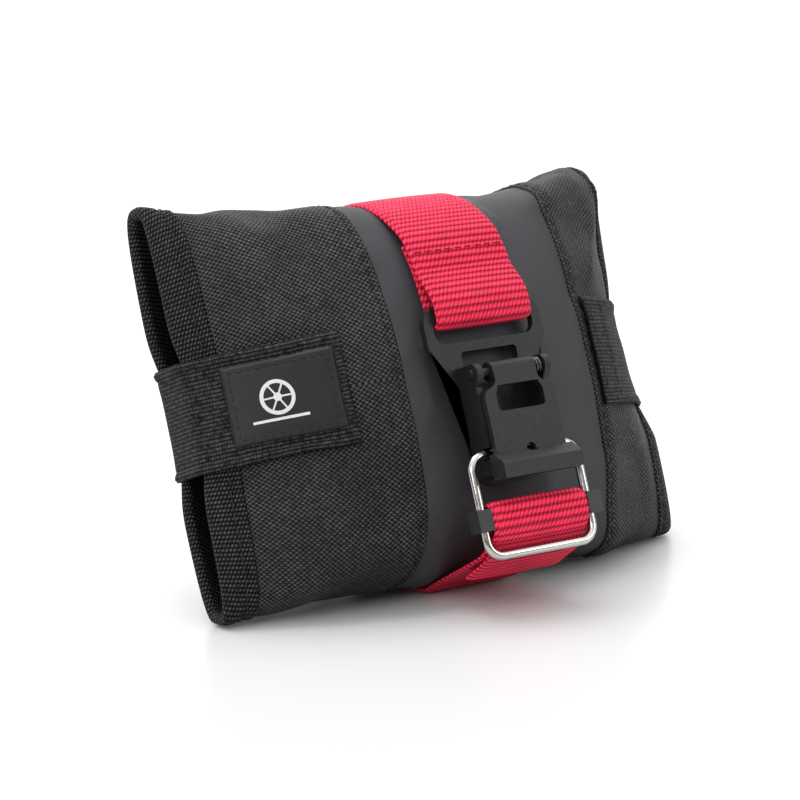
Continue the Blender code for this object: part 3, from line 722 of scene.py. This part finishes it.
def swept(name, points, radius, sides, closed, look):
    """A round wire through points."""
    if closed:
        along = unit(np.roll(points, -1, axis=0) - np.roll(points, 1, axis=0))
    else:
        along = unit(np.gradient(points, axis=0))
    side = np.cross(along[0], (0.31, 0.22, 0.92))
    angles = np.linspace(0.0, 2.0 * pi, sides, endpoint=False)[:, None]
    rings = []
    for place, direction in zip(points, along):
        side = unit(side - direction * side.dot(direction))
        up = np.cross(direction, side)
        rings.append(place + radius * (np.cos(angles) * side + np.sin(angles) * up))
    return grid_mesh(name, np.array(rings), look, closed)


def stitches(name, lines, look, length, gap):
    """Thread along lines of (points, normals): short arches that dip into the cloth at both ends."""
    sides, stations = 7, 7
    share = np.linspace(0.0, 1.0, stations)
    arch = np.sin(pi * share)
    rise, size = THREAD_RADIUS * (1.5 * arch - 0.9), THREAD_RADIUS * (0.6 + 0.4 * arch**0.5)
    angles = np.linspace(0.0, 2.0 * pi, sides, endpoint=False)
    vertices, faces = [], []
    for points, normals in lines:
        travel = travelled(points)
        count = max(int(travel[-1] / (length + gap)), 1)
        pitch = travel[-1] / count
        for number in range(count):
            wanted = number * pitch + 0.5 * gap + (pitch - gap) * share
            centre = on_line(wanted, travel, points)
            up = unit(on_line(wanted, travel, normals))
            side = unit(np.cross(np.gradient(centre, axis=0), up))
            centre = centre + up * rise[:, None]
            first = len(vertices)
            for station in range(stations):
                for angle in angles:
                    spoke = cos(angle) * side[station] + 0.8 * sin(angle) * up[station]
                    vertices.append(centre[station] + size[station] * spoke)
            last = first + (stations - 1) * sides
            for here in range(first, last, sides):
                there = here + sides
                for k, following in zip(range(sides), (*range(1, sides), 0)):
                    faces.append((here + k, here + following, there + following, there + k))
            faces += [range(first, first + sides)[::-1], range(last, last + sides)]
    mesh = bpy.data.meshes.new(name)
    mesh.from_pydata(vertices, [], faces)
    mesh.shade_smooth()
    mesh.materials.append(look)
    return add_object(name, mesh)


def row(x, turns, offset):
    """Places for a row of stitches on the cloth, with the way out of it at each."""
    points, below = (skin(x, turns, np.full(len(turns), lift)) for lift in (offset, offset - 0.001))
    return points, points - below


def row_round(x, offset):
    """A row of stitches round the tube."""
    return row(np.full(361, x), np.linspace(0.0, 1.0, 361), offset)


def row_along(corners, offset):
    """A row of stitches on the front wall through (x, height) corners."""
    corners = np.array(corners, float)
    places = []
    for start, end in zip(corners[:-1], corners[1:]):
        steps = max(int(np.linalg.norm(end - start) / ROW_STEP), 2)
        places.extend(start + (end - start) * k / steps for k in range(steps))
    places = np.array(places + [corners[-1]])
    return row(places[:, 0], np.array([turn_at(x, z, 1) for x, z in places]), offset)


# Materials

class Look:
    """A Principled material, with short forms of the nodes that its detail is made of."""

    def __init__(self, name, roughness, metallic=0.0, sheen=0.0, specular=0.5):
        self.material = bpy.data.materials.new(name)
        self.material.use_nodes = True
        self.tree = self.material.node_tree
        self.shader = self.tree.nodes["Principled BSDF"]
        values = {"Roughness": roughness, "Metallic": metallic, "Sheen Weight": sheen}
        for socket, value in {**values, "Specular IOR Level": specular}.items():
            self.shader.inputs[socket].default_value = value

    def put(self, socket, value):
        if isinstance(value, bpy.types.NodeSocket):
            self.tree.links.new(value, socket)
        else:
            socket.default_value = value

    def math(self, operation, *values):
        node = self.tree.nodes.new("ShaderNodeMath")
        node.operation = operation
        for socket, value in zip(node.inputs, values):
            self.put(socket, value)
        return node.outputs[0]

    def times(self, *values):
        return self.math("MULTIPLY", *values)

    def scaled(self, value, factor, added):
        return self.math("MULTIPLY_ADD", value, factor, added)

    def power(self, value, exponent):
        return self.math("POWER", value, exponent)

    def uv(self):
        """The u and v of the metre-sized UV map."""
        split = self.tree.nodes.new("ShaderNodeSeparateXYZ")
        place = self.tree.nodes.new("ShaderNodeUVMap")
        place.uv_map = "UVMap"
        self.put(split.inputs[0], place.outputs[0])
        return split.outputs[0], split.outputs[1]

    def noise(self, size, detail=3.0, roughness=0.55):
        """Noise with features of the given size in metres."""
        node = self.tree.nodes.new("ShaderNodeTexNoise")
        node.inputs["Scale"].default_value = 1.0 / size
        node.inputs["Detail"].default_value = detail
        node.inputs["Roughness"].default_value = roughness
        self.put(node.inputs["Vector"], self.tree.nodes.new("ShaderNodeTexCoord").outputs["Object"])
        return node.outputs["Fac"]

    def span(self, value, low, high, to_low=0.0, to_high=1.0):
        node = self.tree.nodes.new("ShaderNodeMapRange")
        for socket, number in zip(node.inputs, (value, low, high, to_low, to_high)):
            self.put(socket, number)
        return node.outputs[0]

    def wave(self, value, pitch, phase=0.0):
        """0 in the grooves and 1 on the ridges of rounded ribs."""
        turned = self.scaled(value, pi / pitch, pi * phase)
        return self.math("ABSOLUTE", self.math("SINE", turned))

    def colour(self, low, high, share):
        """A mix of two colours, of which the low one may come from another node."""
        node = self.tree.nodes.new("ShaderNodeMix")
        node.data_type = "RGBA"
        self.put(node.inputs["Factor"], share)
        self.put(node.inputs[6], (*low, 1.0) if isinstance(low, tuple) else low)
        node.inputs[7].default_value = (*high, 1.0)
        return node.outputs[2]

    def finish(self, colour, height=None, depth=0.0002, roughness=None):
        self.put(self.shader.inputs["Base Color"], colour)
        if roughness is not None:
            self.put(self.shader.inputs["Roughness"], roughness)
        if height is not None:
            bump = self.tree.nodes.new("ShaderNodeBump")
            bump.inputs["Strength"].default_value = 1.0
            bump.inputs["Distance"].default_value = depth
            self.put(bump.inputs["Height"], height)
            self.put(self.shader.inputs["Normal"], bump.outputs[0])
        return self.material


def scales(look, pitches, halves):
    """Height of yarns that pass over in turn, as oval scales in a brick pattern."""
    rows = []
    for shift in (0.0, 0.5):
        ovals = []
        for value, pitch, half in zip(look.uv(), pitches, halves):
            part = look.math("FRACT", look.scaled(value, 1.0 / pitch, shift))
            from_middle = look.scaled(part, pitch / half, -0.5 * pitch / half)
            ovals.append(look.power(look.math("ABSOLUTE", from_middle), 2.0))
        rows.append(look.math("SUBTRACT", 1.0, look.math("ADD", *ovals)))
    return look.math("MAXIMUM", look.math("MAXIMUM", *rows), 0.0)


def plain_weave(look, pitch):
    """Height of a plain weave of fine yarns."""
    u, v = look.uv()
    ridge_u, ridge_v = look.wave(u, pitch), look.wave(v, pitch)
    across, up = (look.math("FLOOR", look.math("DIVIDE", value, pitch)) for value in (u, v))
    odd = look.math("PINGPONG", look.math("ADD", across, up), 1.0)
    warp_top = look.times(look.power(ridge_u, 0.6), look.power(ridge_v, 0.35))
    weft_top = look.times(look.power(ridge_v, 0.6), look.power(ridge_u, 0.35))
    low_weft = look.times(look.math("SUBTRACT", 1.0, odd), look.times(weft_top, 0.72))
    return look.math("ADD", look.times(odd, warp_top), low_weft)


def woven_black():
    look = Look("heavy_black_weave", 0.50, specular=0.12)
    yarn = scales(look, WEAVE_PITCH, WEAVE_YARN)
    fibre = look.noise(0.00020, 2.0, 0.7)
    height = look.scaled(fibre, 0.20, look.power(yarn, 0.8))
    cloud = look.span(look.noise(0.012, 2.0), 0.3, 0.7, 0.75, 1.15)
    glint = look.times(look.span(look.noise(0.0010, 2.0), 0.32, 0.70, 0.45, 1.15), cloud)
    # Painted light: the colour is near black in the gaps between yarns (painted shade) and grey on the
    # yarns' tops (painted highlight), made patchy by the glint noise.
    share = look.times(look.power(yarn, 1.5), glint)
    colour = look.colour((0.0010, 0.0010, 0.0012), (0.086, 0.085, 0.093), share)
    return look.finish(colour, height, 0.00034)


def coated_grey():
    look = Look("coated_grey_cloth", 0.55, specular=0.20)
    u, v = look.uv()
    fine = look.times(look.wave(u, COATING_PITCH), look.wave(v, COATING_PITCH))
    cloud = look.noise(0.012, 3.0)
    grain = look.noise(0.0005, 2.0)
    share = look.scaled(grain, 0.35, look.times(cloud, 0.65))
    colour = look.colour((0.0290, 0.0285, 0.0320), (0.0500, 0.0495, 0.0550), share)
    height = look.scaled(fine, 0.45, look.times(grain, 0.7))
    return look.finish(colour, height, 0.00005, look.span(cloud, 0.3, 0.7, 0.50, 0.62))


def binding_black():
    look = Look("black_ribbed_tape", 0.60, specular=0.10)
    u, v = look.uv()
    rib = look.power(look.wave(v, TAPE_RIB_PITCH), 0.7)
    yarn = look.wave(look.scaled(v, 0.5, u), TAPE_YARN_PITCH)
    height = look.times(rib, look.scaled(yarn, 0.65, 0.35))
    cloud = look.span(look.noise(0.0012, 2.0), 0.25, 0.7, 0.3, 1.0)
    # Painted light: the ribs' tops are painted grey (painted highlight) and the grooves near black
    # (painted shade).
    top = look.times(look.power(height, 3.2), cloud)
    colour = look.colour((0.0010, 0.0010, 0.0012), (0.115, 0.114, 0.122), top)
    return look.finish(colour, height, 0.00046)


def elastic_black():
    look = Look("black_elastic", 0.62, specular=0.12)
    u, v = look.uv()
    rib = look.power(look.wave(u, ELASTIC_RIB_PITCH), 0.6)
    knit = look.wave(v, ELASTIC_KNIT_PITCH)
    height = look.times(rib, look.scaled(knit, 0.35, 0.65))
    # Painted light: the ribs' tops are painted grey (painted highlight) and the grooves near black
    # (painted shade), patchy by noise.
    top = look.times(look.power(height, 2.0), look.span(look.noise(0.001, 2.0), 0.3, 0.7))
    colour = look.colour((0.0016, 0.0016, 0.0018), (0.085, 0.084, 0.090), top)
    return look.finish(colour, height, 0.00040)


def thread_black():
    look = Look("black_thread", 0.50, specular=0.2)
    twist = look.noise(0.0004, 2.0)
    colour = look.colour((0.004, 0.004, 0.0045), (0.030, 0.030, 0.032), twist)
    return look.finish(colour, twist, 0.00008)


def red_yarn(name, low, high, rib):
    look = Look(name, 0.60, sheen=0.03, specular=0.14)
    look.shader.inputs["Sheen Tint"].default_value = (1.0, 0.45, 0.5, 1.0)
    u, v = look.uv()
    yarn = look.power(look.wave(look.scaled(v, 0.60, u), RED_YARN_PITCH), 0.6)
    ridge = look.wave(v, rib, 0.5)
    height = look.scaled(ridge, 0.55, look.times(yarn, 0.45))
    height = look.scaled(look.noise(0.00028, 2.0, 0.7), 0.24, height)
    cloud = look.span(look.noise(0.006, 3.0), 0.3, 0.7, 0.8, 1.1)
    # Painted light: the colour runs from the dark low colour in the grooves (painted shade) to the pale
    # high colour on the ribs' tops (painted highlight).
    share = look.times(look.power(look.times(height, 0.96), 2.9), cloud)
    return look.finish(look.colour(low, high, share), height, 0.00042)


def lining_grey():
    look = Look("grey_lining", 0.7, specular=0.3)
    height = plain_weave(look, LINING_PITCH)
    # Painted light: the colour follows the weave's height, darker where yarns pass under (painted shade)
    # and lighter on their tops (painted highlight).
    colour = look.colour((0.030, 0.030, 0.032), (0.085, 0.085, 0.090), height)
    return look.finish(colour, height, 0.00008)


def label_satin():
    """Black satin with a white spoked wheel on a ground line. v runs along the label, u up it."""
    look = Look("black_label_satin", 0.44, specular=0.30)
    u, v = look.uv()
    twill = look.wave(look.scaled(v, 0.7, u), SATIN_PITCH)
    east = look.math("SUBTRACT", v, 0.5 * (LABEL_X[1] - LABEL_X[0]))
    north = look.math("SUBTRACT", u, 0.52 * (LABEL_Z[1] - LABEL_Z[0]))
    squares = [look.power(look.math("ABSOLUTE", value), 2.0) for value in (east, north)]
    reach = look.power(look.math("ADD", *squares), 0.5)
    rim = look.math("COMPARE", reach, WHEEL_RADIUS, 0.00042)
    hub = look.math("LESS_THAN", reach, 0.0009)
    turned = look.times(look.math("ARCTAN2", north, east), 3.0)
    beside = look.times(look.math("ABSOLUTE", look.math("SINE", turned)), reach)
    inside = look.math("LESS_THAN", reach, WHEEL_RADIUS)
    spoke = look.times(look.math("LESS_THAN", beside, 0.00055), inside)
    below = look.math("COMPARE", north, -0.0047, 0.00030)
    ground = look.times(below, look.math("LESS_THAN", look.math("ABSOLUTE", east), 0.0062))
    mark = look.math("MAXIMUM", look.math("MAXIMUM", rim, hub), look.math("MAXIMUM", spoke, ground))
    # Painted light: the twill's ridges are painted a little lighter (painted sheen) than its grooves
    # (painted shade); the white wheel is the label's print.
    colour = look.colour((0.0036, 0.0036, 0.0039), (0.012, 0.012, 0.013), twill)
    colour = look.colour(colour, (0.62, 0.62, 0.60), mark)
    height = look.scaled(mark, 0.8, look.times(twill, 0.5))
    return look.finish(colour, height, 0.00006)


def blasted_black():
    """Bead-blasted, black-anodised alloy: a fine pitted grain and faint handling marks."""
    look = Look("anodised_black", 0.34, metallic=0.45, specular=0.40)
    pits = look.noise(0.00030, 3.0, 0.75)
    cloud = look.noise(0.009, 3.0)
    share = look.scaled(look.span(pits, 0.40, 0.66), 0.55, look.times(cloud, 0.45))
    colour = look.colour((0.0050, 0.0050, 0.0055), (0.036, 0.0358, 0.0395), share)
    marks = look.math("ADD", cloud, look.times(pits, 0.6))
    return look.finish(colour, pits, 0.00009, look.span(marks, 0.5, 1.1, 0.26, 0.42))


def bright_wire(name, colour_low, colour_high, roughness):
    look = Look(name, roughness, metallic=1.0)
    drawn = look.noise(0.0007, 4.0, 0.65)
    colour = look.colour(colour_low, colour_high, drawn)
    gloss = look.span(drawn, 0.3, 0.7, roughness - 0.05, roughness + 0.09)
    return look.finish(colour, drawn, 0.000012, gloss)


def moulded_black():
    look = Look("black_nylon", 0.48, specular=0.45)
    grain = look.noise(0.0003, 2.0)
    colour = look.colour((0.0085, 0.0086, 0.0090), (0.022, 0.022, 0.023), grain)
    return look.finish(colour, grain, 0.00003)


# Metal

def bevelled(name, node, look, width):
    """A CAD solid with softened edges."""
    obj = add_object(name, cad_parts[node].data.copy())
    work = bmesh.new()
    work.from_mesh(obj.data)
    bmesh.ops.remove_doubles(work, verts=work.verts, dist=0.000002)
    bmesh.ops.dissolve_limit(work, angle_limit=radians(1.0), verts=work.verts, edges=work.edges)
    work.to_mesh(obj.data)
    work.free()
    obj.data.shade_smooth()
    bevel = obj.modifiers.new("soft_edges", "BEVEL")
    bevel.width = width
    bevel.segments = 3
    bevel.limit_method = "ANGLE"
    bevel.angle_limit = radians(28.0)
    even_out = obj.modifiers.new("flat_faces", "WEIGHTED_NORMAL")
    even_out.mode = "FACE_AREA"
    even_out.weight = 100
    mesh = bpy.data.meshes.new_from_object(obj.evaluated_get(bpy.context.evaluated_depsgraph_get()))
    obj.modifiers.clear()
    obj.data = mesh
    mesh.materials.clear()
    mesh.materials.append(look)
    return obj


def ring_line():
    """Centre line of the wire ring, from its CAD box."""
    low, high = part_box("wire_ring")
    middle = 0.5 * (low.x + high.x)
    side = 0.5 * (high.x - low.x) - WIRE_RADIUS - RING_CORNER
    top, bottom = RING_TOP - RING_CORNER, RING_BOTTOM + RING_CORNER
    points = []
    for x, z, start in ((side, top, 90), (side, bottom, 0), (-side, bottom, -90), (-side, top, -180)):
        for across, up in arc((x, z), RING_CORNER, start, start - 90, 12):
            points.append((middle + across, RING_Y, up))
    return lean(np.array(points))


def spring_line():
    """Centre line of the coil round the pin, beside the lever's knuckle."""
    turn = np.arange(32 * SPRING_TURNS + 1) / 32.0
    x = STRAP_X + KNUCKLE_HALF_WIDTH + 0.0005 + SPRING_PITCH * turn
    y = PIN_Y + SPRING_RADIUS * np.cos(2.0 * pi * turn)
    z = PIN_Z + SPRING_RADIUS * np.sin(2.0 * pi * turn)
    return lean(np.stack([x, y, z], axis=1))


# The pieces

def build_cloth():
    weave, grey, tape = woven_black(), coated_grey(), binding_black()
    elastic, thread, lining = elastic_black(), thread_black(), lining_grey()
    for obj, slot, node in (
        (centre_panel(grey), "coated_grey", "centre_panel"),
        (end_panel("left_woven_panel", -1, SEAM_LEFT, weave), "woven_black", "left_end_panel"),
        (end_panel("right_woven_panel", 1, SEAM_RIGHT, weave), "woven_black", "right_end_panel"),
        (binding("left_rim_tape", -1, tape), "binding_tape", "left_binding"),
        (binding("right_rim_tape", 1, tape), "binding_tape", "right_binding"),
        (inner_sleeve(lining), "lining", "inner_lining"),
        (pocket("front_slip_pocket", 1, lining), "lining", "front_pocket"),
        (pocket("rear_slip_pocket", -1, lining), "lining", "back_pocket"),
        (elastic_band("left_elastic_band", -1, LEFT_BAND_END, elastic), "elastic", "left_elastic"),
        (elastic_band("right_elastic_band", 1, RIGHT_BAND_END, elastic), "elastic", "right_elastic"),
        (label(label_satin()), "label_satin", "label_patch"),
        (keeper(elastic), "elastic", "strap_keeper"),
    ):
        finish_piece(obj, "bag", slot, node)

    hem_lift = hem_offset(HEM_ROW) + 0.0001
    hems = (SEAM_LEFT + HEM_OVERLAP - HEM_ROW, SEAM_RIGHT - HEM_OVERLAP + HEM_ROW)
    rim = HALF_LENGTH - BINDING_WIDTH + TAPE_ROW
    bands = (LEFT_BAND_END - BAND_ROWS[0], *(RIGHT_BAND_END + inset for inset in BAND_ROWS))
    (start, end), (low, high) = LABEL_X, LABEL_Z
    start, end, low, high = start + LABEL_ROW, end - LABEL_ROW, low + LABEL_ROW, high - LABEL_ROW
    box = [(start, low), (start, high), (end, high), (end, low), (start, low)]
    hem_lines = [row_round(x, hem_lift) for x in hems]
    rim_lines = [row_round(x, BINDING_THICK + 0.0001) for x in (-rim, rim)]
    band_lines = [row_along([(x, -BAND_ROW_HALF), (x, BAND_ROW_HALF)], BAND_TOP) for x in bands]
    label_lines = [row_along(box, BAND_TOP + 0.00042)]
    for name, lines, stitch, slot in (
        ("hem_stitches", hem_lines, HEM_STITCH, "binding_tape"),
        ("rim_stitches", rim_lines, RIM_STITCH, "binding_tape"),
        ("band_stitches", band_lines, BAND_STITCH, "elastic"),
        ("label_stitches", label_lines, LABEL_STITCH, "label_satin"),
    ):
        finish_piece(stitches(name, lines, thread, *stitch), "bag", slot)


def bend(obj, near, far, body, moving, *nodes):
    """Webbing with its transform baked into its mesh, and the CAD nodes that it stands for hidden. It
    follows no body: body and moving are not used, and the places near and far are worked out but used
    for nothing.
    """
    start, end = lean(np.array([[STRAP_X, *near], [STRAP_X, *far]]))
    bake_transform(obj)
    if nodes:
        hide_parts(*nodes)


def build_webbing():
    # The pale pink high colour is the painted highlight on the ribs' tops; the dark low colour is
    # painted shade in the grooves.
    red = red_yarn("red_webbing", (0.19, 0.0006, 0.0046), (1.0, 0.0330, 0.104), RIB_PITCH)
    to_ring, body_route = strap_route()
    sections = webbing(to_ring + body_route)
    split = split_at(sections, body_route[0])
    load = grid_mesh("strap_load_run", sections[: split + 1], red)
    strap = grid_mesh("red_strap", sections[split:], red)
    finish_piece(strap, "bag", "red_webbing", "main_strap", "strap_fold")
    bend(load, (-0.0265, -0.0417), (-0.0322, -0.0390), "bag", "ring")

    wrap_route, tail_route = slider_route()
    sections = webbing(wrap_route + tail_route, 0.3)
    split = split_at(sections, tail_route[0])
    wrap = grid_mesh("slider_wrap", sections[: split + 1], red)
    tail = grid_mesh("strap_tail_run", sections[split:], red)
    bend(wrap, (RING_Y, -0.0385), (RING_Y, -0.0345), "ring", "slider", "strap_wrap")
    bend(tail, (-0.0235, -0.0445), (-0.0335, -0.0400), "bag", "ring", "strap_tail")

    thread = red_yarn("red_thread", (0.20, 0.001, 0.006), (0.42, 0.004, 0.02), 0.0004)
    y, z = front_wall(FOLD_SEAM, 2.0 * GAP + 2.0 * WEBBING_THICK + 0.00002)
    line = np.array([(STRAP_X + across, y, z) for across in np.linspace(-0.0119, 0.0119, 40)])
    up = lean(line + (0.0, -1.0, 0.25)) - lean(line)
    seam = stitches("fold_stitches", [(lean(line), up)], thread, *FOLD_STITCH)
    finish_piece(seam, "bag", "red_webbing")


def build_metal():
    black = blasted_black()
    steel = bright_wire("stainless_wire", (0.40, 0.385, 0.36), (0.62, 0.60, 0.575), 0.15)
    spring = bright_wire("spring_steel", (0.05, 0.05, 0.052), (0.12, 0.12, 0.125), 0.32)
    for name, node, width, body in (
        ("buckle_plate", "buckle_frame", 0.00032, "bag"),
        ("thumb_lever", "lever", 0.00028, "lever_arm"),
        ("hinge_pin", "lever_pin", 0.00015, "bag"),
    ):
        finish_piece(bevelled(name, node, black, width), body, "anodised_black", node)
    coil = swept("hinge_spring", spring_line(), SPRING_WIRE, 10, False, spring)
    finish_piece(coil, "bag", "spring_steel", "lever_spring")
    ring = swept("hook_ring", ring_line(), WIRE_RADIUS, 24, True, steel)
    finish_piece(ring, "ring", "stainless_wire", "wire_ring")
    bar = bevelled("slider_core", "slider_bar", moulded_black(), 0.00022)
    finish_piece(bar, "slider", "black_plastic", "slider_bar")


# Studio

def area_light(name, place, size, power):
    """A round lamp that faces the middle of the bag."""
    light = bpy.data.lights.new(name, "AREA")
    light.shape = "DISK"
    light.size = size
    light.energy = power
    obj = add_object(name, light)
    obj.location = place
    obj.rotation_euler = (Vector((0.0, 0.0, 0.04)) - obj.location).to_track_quat("-Z", "Y").to_euler()


def build_studio():
    mesh = bpy.data.meshes.new("floor")
    corners = [(-FLOOR, -FLOOR, 0.0), (FLOOR, -FLOOR, 0.0), (FLOOR, FLOOR, 0.0), (-FLOOR, FLOOR, 0.0)]
    mesh.from_pydata(corners, [], [(0, 1, 2, 3)])
    floor = add_object("floor", mesh)
    look = Look("pale_floor", 0.32, specular=0.42)
    cloud = look.noise(0.35, 2.0)
    colour = look.colour((0.55, 0.552, 0.558), (0.585, 0.587, 0.593), cloud)
    mesh.materials.append(look.finish(colour))

    world = bpy.data.worlds.new("studio")
    world.use_nodes = True
    tree = world.node_tree
    direction = tree.nodes.new("ShaderNodeTexCoord").outputs["Generated"]
    split = tree.nodes.new("ShaderNodeSeparateXYZ")
    tree.links.new(direction, split.inputs[0])
    brighter = tree.nodes.new("ShaderNodeMath")
    brighter.operation = "MAXIMUM"
    for place, (output, low, high) in enumerate((BRIGHT_BEHIND, BRIGHT_ABOVE)):
        node = tree.nodes.new("ShaderNodeMapRange")
        tree.links.new(split.outputs[output], node.inputs["Value"])
        for socket, number in zip(list(node.inputs)[1:5], (low, high, DIM, BRIGHT)):
            socket.default_value = number
        tree.links.new(node.outputs[0], brighter.inputs[place])
    background = tree.nodes["Background"]
    background.inputs["Color"].default_value = (1.0, 1.0, 1.0, 1.0)
    tree.links.new(brighter.outputs[0], background.inputs["Strength"])
    bpy.context.scene.world = world
    bpy.context.scene.view_settings.view_transform = "Standard"

    area_light("overhead", (-0.05, 0.22, 0.85), 0.60, 5.0)
    area_light("front_left", (-0.75, -0.55, 0.55), 0.50, 3.2)
    area_light("front_right", (0.65, -0.60, 0.35), 0.50, 2.1)


def build_camera():
    """A long lens a little above the bag, in front of its left mouth."""
    forward = Vector((sin(TURN) * cos(RISE), cos(TURN) * cos(RISE), -sin(RISE)))
    camera = bpy.data.cameras.new("camera")
    camera.lens = 160.0
    camera.sensor_width = 36.0
    camera.shift_x = -0.018
    camera.shift_y = -0.016
    camera.clip_start = 0.05
    obj = add_object("camera", camera)
    obj.location = Vector((-0.0015, CENTRE_DEPTH, CENTRE_HEIGHT)) - forward * DISTANCE
    aim = forward.to_track_quat("-Z", "Y")
    obj.rotation_euler = (aim.to_matrix() @ Matrix.Rotation(ROLL, 3, "Z")).to_euler()
    bpy.context.scene.camera = obj


build_cloth()
build_webbing()
build_metal()
build_studio()
build_camera()
